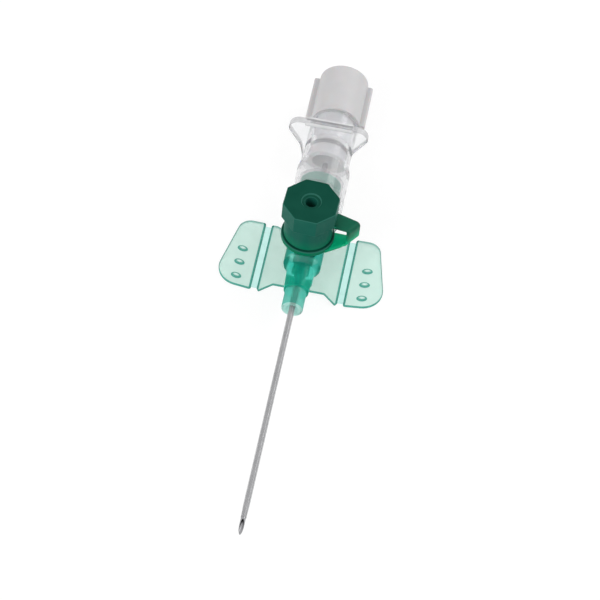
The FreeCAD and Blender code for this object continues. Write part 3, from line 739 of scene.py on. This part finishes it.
def hub_moulding():
    """Green hub with its port, its channel and the inner panels of the wings."""
    body = turned("hub_moulding", rounded([
        ((0, NOSE_FRONT), 0),
        ((NOSE_RADIUS, NOSE_FRONT), NOSE_ROUND),
        ((NOSE_RADIUS, NOSE_REAR), 0.1),
        ((WAIST_FRONT_RADIUS, WAIST_FRONT), 0.1),
        ((WAIST_REAR_RADIUS, WAIST_REAR), 0.3),
        ((BARREL_RADIUS, BARREL_FRONT), 0.5),
        ((BARREL_RADIUS, BARREL_REAR), 0.05),
        ((SOCKET_RADIUS, BARREL_REAR), 0.04),
        ((SOCKET_RADIUS, HUB_REAR - RIM_LENGTH), 0.15),
        ((RIM_RADIUS, HUB_REAR - RIM_LENGTH), 0.15),
        ((RIM_RADIUS, HUB_REAR), 0.15),
        ((0, HUB_REAR), 0),
    ]), about_cannula)
    bead_foot, bead_low, bead_high, bead_end = [RING_TOP + rise for rise in BEAD_RISES]
    port = turned("port", rounded([
        ((0, 0), 0),
        ((PORT_NECK_RADIUS, 0), 0),
        ((PORT_NECK_RADIUS, bead_foot), 0),
        ((PORT_BEAD_RADIUS, bead_low), 0.1),
        ((PORT_BEAD_RADIUS, bead_high), 0.1),
        ((PORT_RADIUS, bead_end), 0.1),
        ((PORT_RADIUS, PORT_RIM), 0.2),
        ((0, PORT_RIM), 0),
    ]), about_port)
    plate = slab("plate", rounded(INNER_WING + mirrored(INNER_WING)), WING_THICKNESS, WING_EDGE,
                 in_plan(0))
    foot = slab("foot", rounded(FOOT), AXIS_HEIGHT - FOOT_RISE, 0, in_plan(FOOT_RISE))
    combine(plate, [ridge_slope(side * HINGE_INNER, -side) for side in (1, -1)], "DIFFERENCE")
    combine(body, [port, plate, foot], "UNION")
    channel = turned("channel", [
        (0, NOSE_FRONT - 2 * CUT_PAST), (MOUTH_RADIUS + 2 * CUT_PAST, NOSE_FRONT - 2 * CUT_PAST),
        (MOUTH_RADIUS, NOSE_FRONT), (TUBE_SEAT_RADIUS, NOSE_FRONT + MOUTH_DEPTH),
        (TUBE_SEAT_RADIUS, FLARE_FRONT), (FLARE_SEAT_RADIUS, FLARE_REAR),
        (FLARE_SEAT_RADIUS, CATHETER_REAR), (STOP_RADIUS, CATHETER_REAR), (STOP_RADIUS, STOP_REAR),
        (ENTRY_RADIUS, -VALVE_SEAT_HALF), (VALVE_SEAT_RADIUS, -VALVE_SEAT_HALF),
        (VALVE_SEAT_RADIUS, VALVE_SEAT_HALF), (LUER_TIP_RADIUS, LUER_BOTTOM),
        (LUER_MOUTH_RADIUS, HUB_REAR), (LUER_MOUTH_RADIUS + CUT_PAST, HUB_REAR + CUT_PAST),
        (0, HUB_REAR + CUT_PAST),
    ], about_cannula)
    bore = turned("bore", [
        (0, 0), (PORT_HOLE_RADIUS, 0), (PORT_HOLE_RADIUS, PORT_FLOOR),
        (PORT_FOOT_RADIUS, PORT_FLOOR), (LUER_MOUTH_RADIUS, PORT_RIM),
        (LUER_MOUTH_RADIUS + CUT_PAST, PORT_RIM + CUT_PAST), (0, PORT_RIM + CUT_PAST),
    ], about_port)
    # Known fault: part of the bore's surface is left inside the channel.
    combine(body, [channel, bore], "DIFFERENCE")
    finish_piece(body, "hub", GREEN_CLEAR, ["catheter_hub"])


def wing_panel(side):
    """Outer wing panel with its three pips."""
    name = "right" if side > 0 else "left"
    outline = [(side * u, v) for u, v in rounded(OUTER_WING, steps=10)]
    panel = slab("wing_" + name, outline, WING_THICKNESS, WING_EDGE, in_plan(0))
    pips = [dome("pip", side * x, y, PIP_HALF, side * PIP_TURN, WING_THICKNESS) for x, y in PIPS]
    combine(panel, [ridge_slope(side * HINGE_OUTER, side)], "DIFFERENCE")
    combine(panel, pips, "UNION")
    finish_piece(panel, "wing_" + name, GREEN_CLEAR, ["wing_panel_" + name])


def hinge_web(side):
    """Thin hinge strip between the hub's plate and a wing panel."""
    name = "right" if side > 0 else "left"
    front = WING_FRONT + WEB_INSET
    rear = WING_REAR - WEB_INSET
    count = WEB_ROWS
    width = HINGE_OUTER - HINGE_INNER + 2 * WEB_LAP
    verts = []
    for index in range(count):
        share = index / (count - 1)
        x = side * (HINGE_INNER - WEB_LAP + width * share)
        sink = WEB_HOLLOW * math.sin(math.pi * share)
        for y in (front, rear):
            verts.append(Vector((x, y, 0.0)))
            verts.append(Vector((x, y, WEB_THICKNESS - sink)))
    faces = [[0, 1, 3, 2], [4 * count - 4, 4 * count - 3, 4 * count - 1, 4 * count - 2]]
    for index in range(count - 1):
        first = 4 * index
        after = first + 4
        faces += [
            [first, first + 2, after + 2, after],
            [first + 1, first + 3, after + 3, after + 1],
            [first, first + 1, after + 1, after],
            [first + 2, first + 3, after + 3, after + 2],
        ]
    web = new_object("hinge_web_" + name, verts, faces)
    blend = ("hub", "wing_" + name, (side * HINGE_INNER * MM, 0, WEB_THICKNESS * MM),
             (side * HINGE_OUTER * MM, 0, WEB_THICKNESS * MM))
    finish_piece(web, blend, GREEN_WEB, (), weighted=False)


def cap_head():
    """Octagonal cap with its skirt, pin and cored middle."""
    corner = CAP_FLATS / 2 / math.cos(math.pi / 8)
    octagon = []
    for index in range(8):
        angle = math.radians(CAP_TURN + 22.5 + 45 * index)
        octagon.append(((corner * math.cos(angle), corner * math.sin(angle)), CAP_CORNER))
    head = slab("cap_head", rounded(octagon, steps=3), CAP_TOP - CAP_HEAD_BOTTOM, CAP_EDGE,
                in_plan(AXIS_HEIGHT + CAP_HEAD_BOTTOM))
    skirt = turned("skirt", rounded([
        ((0, SKIRT_BOTTOM), 0), ((SKIRT_RADIUS, SKIRT_BOTTOM), 0.2),
        ((SKIRT_RADIUS, CAP_HEAD_BOTTOM + SKIRT_LAP), 0), ((0, CAP_HEAD_BOTTOM + SKIRT_LAP), 0),
    ]), about_port)
    combine(head, [skirt], "UNION")
    inside = turned("inside", [
        (0, SKIRT_BOTTOM - CUT_CLEAR), (SKIRT_INSIDE, SKIRT_BOTTOM - CUT_CLEAR),
        (SKIRT_INSIDE, PORT_RIM + CUT_PAST), (PIN_ROOT_RADIUS, PORT_RIM + CUT_PAST),
        (PIN_TIP_RADIUS, PORT_RIM - PIN_LENGTH), (0, PORT_RIM - PIN_LENGTH),
    ], about_port)
    core = turned("core", rounded([
        ((0, CAP_TOP - CORE_DEPTH), 0), ((CORE_TIP_RADIUS, CAP_TOP - CORE_DEPTH), 0.2),
        ((CORE_RADIUS, CAP_TOP - DISH_DEPTH), 0.1), ((DISH_RADIUS, CAP_TOP - DISH_DEPTH), 0.08),
        ((DISH_RIM_RADIUS, CAP_TOP), 0), ((DISH_CUT_RADIUS, CAP_TOP + 2 * CUT_PAST), 0),
        ((0, CAP_TOP + 2 * CUT_PAST), 0),
    ]), about_port)
    combine(head, [inside, core], "DIFFERENCE")
    finish_piece(head, "cap", GREEN_SOLID, ["port_cap"])


def cap_ring():
    """Ring round the port's neck."""
    ring = turned("cap_ring", rounded([
        ((RING_BORE, RING_BOTTOM), 0.08), ((RING_RADIUS, RING_BOTTOM), 0.3),
        ((RING_RADIUS, RING_TOP), 0.25), ((RING_BORE, RING_TOP), 0.08),
    ]), about_port)
    finish_piece(ring, "retainer", GREEN_SOLID, ["cap_retainer"])


def cap_strap():
    """Folded strap from the ring to the cap."""
    start = Vector((*FOLD_START, 0))
    end = Vector((*FOLD_END, 0))
    direction = (end - start).normalized()
    outward = direction.cross(Vector((0, 0, 1)))
    low = AXIS_HEIGHT + RING_BOTTOM + STRAP_THICKNESS / 2
    high = AXIS_HEIGHT + STRAP_TOP - STRAP_THICKNESS / 2
    edge = []
    for step in range(STRAP_EDGE_STEPS + 1):
        turn = math.pi / 2 * step / STRAP_EDGE_STEPS
        edge.append((STRAP_EDGE / STRAP_WIDTH * (1 - math.cos(turn)),
                     STRAP_THICKNESS / 2 - STRAP_EDGE * (1 - math.sin(turn))))
    middle_rows = [(share, STRAP_THICKNESS / 2) for share in (0.25, 0.5, 0.75)]
    rows = edge + middle_rows + [(1 - share, half) for share, half in reversed(edge)]
    stations = len(rows)
    outer = []
    inner = []
    for share, half in rows:
        fold = start.lerp(end, share) - outward * STRAP_THICKNESS / 2
        middle = Vector(LOW_LEAF_MIDDLE[0]).lerp(Vector(LOW_LEAF_MIDDLE[1]), share)
        entry = Vector(LOW_LEAF_ENTRY[0]).lerp(Vector(LOW_LEAF_ENTRY[1]), share)
        path = rounded([
            ((LEAF_ROOT, LOW_LEAF_ROOT[0] + (LOW_LEAF_ROOT[1] - LOW_LEAF_ROOT[0]) * share, low), 0),
            ((middle.x, middle.y, low), 0),
            ((entry.x, entry.y, low), 0),
            ((fold.x, fold.y, low), FOLD_ROUND),
            ((fold.x, fold.y, high), FOLD_ROUND),
            ((LEAF_ROOT, HIGH_LEAF_ROOT[0] + (HIGH_LEAF_ROOT[1] - HIGH_LEAF_ROOT[0]) * share,
              high), 0),
        ], closed=False, steps=8)
        outer_row = []
        inner_row = []
        for index, point in enumerate(path):
            before = path[max(index - 1, 0)]
            after = path[min(index + 1, len(path) - 1)]
            side = direction.cross((after - before).normalized()).normalized()
            outer_row.append(point + side * half)
            inner_row.append(point - side * half)
        outer.append(outer_row)
        inner.append(inner_row)
    length = len(outer[0])
    verts = [point for row in outer + inner for point in row]

    def at(layer, row, column):
        return (layer * stations + row) * length + column

    faces = []
    for row in range(stations - 1):
        for column in range(length - 1):
            for layer in (0, 1):
                faces.append([at(layer, row, column), at(layer, row + 1, column),
                              at(layer, row + 1, column + 1), at(layer, row, column + 1)])
        for column in (0, length - 1):
            faces.append([at(0, row, column), at(0, row + 1, column),
                          at(1, row + 1, column), at(1, row, column)])
    for row in (0, stations - 1):
        for column in range(length - 1):
            faces.append([at(0, row, column), at(0, row, column + 1),
                          at(1, row, column + 1), at(1, row, column)])
    strap = new_object("cap_strap", verts, faces)
    blend = ("retainer", "cap", (STRAP_BEND * MM, 0, low * MM), (STRAP_BEND * MM, 0, high * MM))
    finish_piece(strap, blend, GREEN_STRAP, (), weighted=False)


def needle_hub_moulding():
    """Clear hub: sleeve, inner cone, flash chamber and grip plate."""
    body = turned("needle_hub_moulding", rounded([
        ((0, CONE_TIP), 0),
        ((CONE_TIP_RADIUS, CONE_TIP), 0.15),
        ((CONE_RADIUS, HUB_REAR), 0),
        ((CONE_RADIUS, HUB_BACK_WALL), 0.2),
        ((SLEEVE_INSIDE, HUB_BACK_WALL), 0.3),
        ((SLEEVE_INSIDE, SLEEVE_FRONT), 0.15),
        ((SLEEVE_RADIUS, SLEEVE_FRONT), 0.25),
        ((SLEEVE_RADIUS, SLEEVE_REAR), 0.8),
        ((CHAMBER_RADIUS, CHAMBER_FRONT), 0.8),
        ((CHAMBER_RADIUS, CHAMBER_REAR), 0.2),
        ((0, CHAMBER_REAR), 0),
    ]), about_cannula)
    offset = Vector((PLATE_OFFSET, 0))
    outline = [point + offset for point in rounded(GRIP_SIDE + mirrored(GRIP_SIDE), steps=8)]
    plate = slab("grip", outline, PLATE_REAR - PLATE_FRONT, PLATE_EDGE, across(PLATE_FRONT))
    combine(body, [plate], "UNION")
    bore = turned("needle_bore", [
        (0, CONE_TIP - CUT_CLEAR), (NEEDLE_BORE, CONE_TIP - CUT_CLEAR),
        (NEEDLE_BORE, CHAMBER_FLOOR), (CHAMBER_BORE, CHAMBER_FLOOR),
        (CHAMBER_BORE, CHAMBER_REAR + CUT_CLEAR), (0, CHAMBER_REAR + CUT_CLEAR),
    ], about_cannula)
    combine(body, [bore], "DIFFERENCE")
    finish_piece(body, "needle", CLEAR, ["needle_hub"])


def grip_lip(name, front):
    """Narrow lip along the top of the grip plate."""
    left = PLATE_OFFSET - LIP_HALF
    right = PLATE_OFFSET + LIP_HALF
    lip = slab(name, rounded([
        ((right, front + LIP_HEIGHT), LIP_CORNER), ((left, front + LIP_HEIGHT), LIP_CORNER),
        ((left, front), LIP_CORNER), ((right, front), LIP_CORNER),
    ]), LIP_HEIGHT, LIP_EDGE, in_plan(AXIS_HEIGHT + PLATE_TOP - LIP_HEIGHT))
    finish_piece(lip, "needle", CLEAR_LIP, ())


def plug_moulding():
    """White plug with ribs, stem and vent."""
    body = turned("plug_moulding", rounded([
        ((0, STEM_TIP), 0),
        ((STEM_RADIUS, STEM_TIP), 0.25),
        ((STEM_RADIUS, PLUG_FRONT), 0),
        ((PLUG_RADIUS, PLUG_FRONT), 0.2),
        ((PLUG_RADIUS, PLUG_REAR), 0.35),
        ((0, PLUG_REAR), 0),
    ]), about_cannula)
    ribs = slab("ribs", rounded([
        ((RIB_REACH, RIB_HALF), RIB_CORNER), ((RIB_REACH, -RIB_HALF), RIB_CORNER),
        ((-RIB_REACH, -RIB_HALF), RIB_CORNER), ((-RIB_REACH, RIB_HALF), RIB_CORNER),
    ]), RIB_REAR - PLUG_FRONT, RIB_EDGE, across(PLUG_FRONT))
    combine(body, [ribs], "UNION")
    airway = turned("airway", [
        (0, STEM_TIP - CUT_CLEAR), (PLUG_BORE, STEM_TIP - CUT_CLEAR), (PLUG_BORE, VENT_FLOOR),
        (VENT_RADIUS, VENT_FLOOR), (VENT_RADIUS, PLUG_REAR),
        (VENT_RADIUS + 2 * CUT_PAST, PLUG_REAR + 2 * CUT_PAST), (0, PLUG_REAR + 2 * CUT_PAST),
    ], about_cannula)
    combine(body, [airway], "DIFFERENCE")
    finish_piece(body, "plug", WHITE, ["luer_plug"])


def catheter():
    """Soft tube with a tapered tip and a flared end."""
    tube = turned("catheter", [
        (CATHETER_BORE, CATHETER_TIP), (CATHETER_TIP_RADIUS, CATHETER_TIP),
        (CATHETER_RADIUS, CATHETER_TIP + CATHETER_TAPER), (CATHETER_RADIUS, FLARE_FRONT),
        (CATHETER_RADIUS + FLARE, FLARE_REAR), (CATHETER_RADIUS + FLARE, CATHETER_REAR),
        (CATHETER_BORE + FLARE, CATHETER_REAR), (CATHETER_BORE + FLARE, FLARE_REAR),
        (CATHETER_BORE, FLARE_FRONT),
    ], about_cannula)
    finish_piece(tube, "hub", TUBE, ["catheter_tube"])


def point_cut(angle, turn, back):
    """Block whose sloping underside grinds the needle's point."""
    length = CUT_WIDTH / math.tan(angle)
    verts = []
    for x in (-CUT_WIDTH / 2, CUT_WIDTH / 2):
        for y in (0, length):
            for z in (0, CUT_WIDTH):
                along = NEEDLE_TIP - back + y * math.cos(angle) - z * math.sin(angle)
                rise = y * math.sin(angle) + z * math.cos(angle) - NEEDLE_RADIUS
                verts.append(Vector((x * math.cos(turn) + rise * math.sin(turn), along,
                                     AXIS_HEIGHT - x * math.sin(turn) + rise * math.cos(turn))))
    faces = [[0, 1, 3, 2], [4, 6, 7, 5], [0, 4, 5, 1], [2, 3, 7, 6], [0, 2, 6, 4], [1, 5, 7, 3]]
    return new_object("point_cut", verts, faces)


def needle_shaft():
    """Steel needle with a lancet point, open side up."""
    shaft = turned("needle_shaft", [
        (NEEDLE_INSIDE, NEEDLE_TIP), (NEEDLE_RADIUS, NEEDLE_TIP),
        (NEEDLE_RADIUS, NEEDLE_REAR), (NEEDLE_INSIDE, NEEDLE_REAR),
    ], about_cannula)
    bevel_length = 2 * NEEDLE_RADIUS / math.tan(BEVEL_ANGLE)
    back = bevel_length * LANCET_SHARE * (1 - BEVEL_ANGLE / LANCET_ANGLE) / 2
    cuts = [point_cut(BEVEL_ANGLE, 0, 0)]
    cuts += [point_cut(LANCET_ANGLE, side * LANCET_TURN, back) for side in (-1, 1)]
    combine(shaft, cuts, "DIFFERENCE")
    finish_piece(shaft, "needle", STEEL, ["needle_tube"])


def carried_over():
    """CAD nodes that keep their own mesh get their materials."""
    for node, material in (
            ("catheter_wedge", STEEL), ("port_valve", SILICONE), ("vent_filter", FIBRE)):
        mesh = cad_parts[node].data
        mesh.materials.clear()
        mesh.materials.append(material)


hub_moulding()
for wing_side in (1, -1):
    wing_panel(wing_side)
    hinge_web(wing_side)
cap_head()
cap_ring()
cap_strap()
needle_hub_moulding()
grip_lip("grip_lip_front", PLATE_FRONT - LIP_REACH)
grip_lip("grip_lip_rear", PLATE_REAR + LIP_REACH - LIP_HEIGHT)
plug_moulding()
catheter()
needle_shaft()
carried_over()


# Camera, floor and light

def make_camera():
    """Camera at the photograph's viewing angle."""
    back = Vector((math.sin(CAMERA_TURN) * math.cos(CAMERA_RISE),
                   -math.cos(CAMERA_TURN) * math.cos(CAMERA_RISE), math.sin(CAMERA_RISE)))
    level = Vector((math.cos(CAMERA_TURN), math.sin(CAMERA_TURN), 0))
    rise = back.cross(level)
    right = level * math.cos(CAMERA_ROLL) + rise * math.sin(CAMERA_ROLL)
    up = back.cross(right)
    data = bpy.data.cameras.new("camera")
    data.lens = CAMERA_LENS
    data.sensor_width = 36.0
    data.clip_start = 0.01
    data.clip_end = 20.0
    camera = bpy.data.objects.new("camera", data)
    bpy.context.scene.collection.objects.link(camera)
    place = (CAMERA_AIM + back * CAMERA_DISTANCE) * MM
    for row in range(3):
        camera.matrix_world[row][0] = right[row]
        camera.matrix_world[row][1] = up[row]
        camera.matrix_world[row][2] = back[row]
        camera.matrix_world[row][3] = place[row]
    bpy.context.scene.camera = camera


def seen_white(tree, plain, white):
    """The white shader to the camera, in reflections and through glass, else the plain one."""
    path = tree.nodes.new("ShaderNodeLightPath")
    seen = path.outputs["Is Camera Ray"]
    for ray in ("Is Glossy Ray", "Is Transmission Ray"):
        either = tree.nodes.new("ShaderNodeMath")
        either.operation = "MAXIMUM"
        tree.links.new(seen, either.inputs[0])
        tree.links.new(path.outputs[ray], either.inputs[1])
        seen = either.outputs[0]
    mix = tree.nodes.new("ShaderNodeMixShader")
    tree.links.new(seen, mix.inputs[0])
    tree.links.new(plain, mix.inputs[1])
    tree.links.new(white, mix.inputs[2])
    return mix.outputs[0]


def make_floor():
    """Plain white floor under the object."""
    reach = FLOOR_REACH
    mesh = bpy.data.meshes.new("floor")
    corners = [(-reach, -reach, 0), (reach, -reach, 0), (reach, reach, 0), (-reach, reach, 0)]
    mesh.from_pydata(corners, [], [(0, 1, 2, 3)])
    floor = bpy.data.objects.new("floor", mesh)
    floor.location.z = -FLOOR_DROP
    bpy.context.scene.collection.objects.link(floor)
    material = bpy.data.materials.new("floor_white")
    material.use_nodes = True
    tree = material.node_tree
    tree.nodes.remove(tree.nodes["Principled BSDF"])
    paper = tree.nodes.new("ShaderNodeBsdfDiffuse")
    paper.inputs["Color"].default_value = (FLOOR_PAPER, FLOOR_PAPER, FLOOR_PAPER, 1)
    glow = tree.nodes.new("ShaderNodeEmission")
    glow.inputs["Color"].default_value = (1, 1, 1, 1)
    glow.inputs["Strength"].default_value = FLOOR_GLOW
    shade = tree.nodes.new("ShaderNodeBsdfDiffuse")
    shade.inputs["Color"].default_value = (FLOOR_SHADE, FLOOR_SHADE, FLOOR_SHADE, 1)
    both = tree.nodes.new("ShaderNodeAddShader")
    tree.links.new(glow.outputs[0], both.inputs[0])
    tree.links.new(shade.outputs[0], both.inputs[1])
    tree.links.new(seen_white(tree, paper.outputs[0], both.outputs[0]),
                   tree.nodes["Material Output"].inputs["Surface"])
    mesh.materials.append(material)


def make_world():
    """Soft white surroundings."""
    world = bpy.data.worlds.new("world")
    bpy.context.scene.world = world
    world.use_nodes = True
    tree = world.node_tree
    soft = tree.nodes["Background"]
    soft.inputs["Color"].default_value = (1, 1, 1, 1)
    soft.inputs["Strength"].default_value = WORLD_STRENGTH
    glow = tree.nodes.new("ShaderNodeBackground")
    glow.inputs["Color"].default_value = (1, 1, 1, 1)
    glow.inputs["Strength"].default_value = 1.0
    tree.links.new(seen_white(tree, soft.outputs[0], glow.outputs[0]),
                   tree.nodes["World Output"].inputs["Surface"])


def make_light(name, place, size, watts):
    """Soft square light aimed at the object."""
    data = bpy.data.lights.new(name, "AREA")
    data.shape = "SQUARE"
    data.size = size
    data.energy = watts
    lamp = bpy.data.objects.new(name, data)
    lamp.location = place
    aim = LIGHT_AIM - Vector(place)
    lamp.rotation_euler = aim.to_track_quat("-Z", "Y").to_euler()
    bpy.context.scene.collection.objects.link(lamp)


make_camera()
make_floor()
make_world()
for light in LIGHTS:
    make_light(*light)
bpy.context.scene.view_settings.view_transform = "Standard"
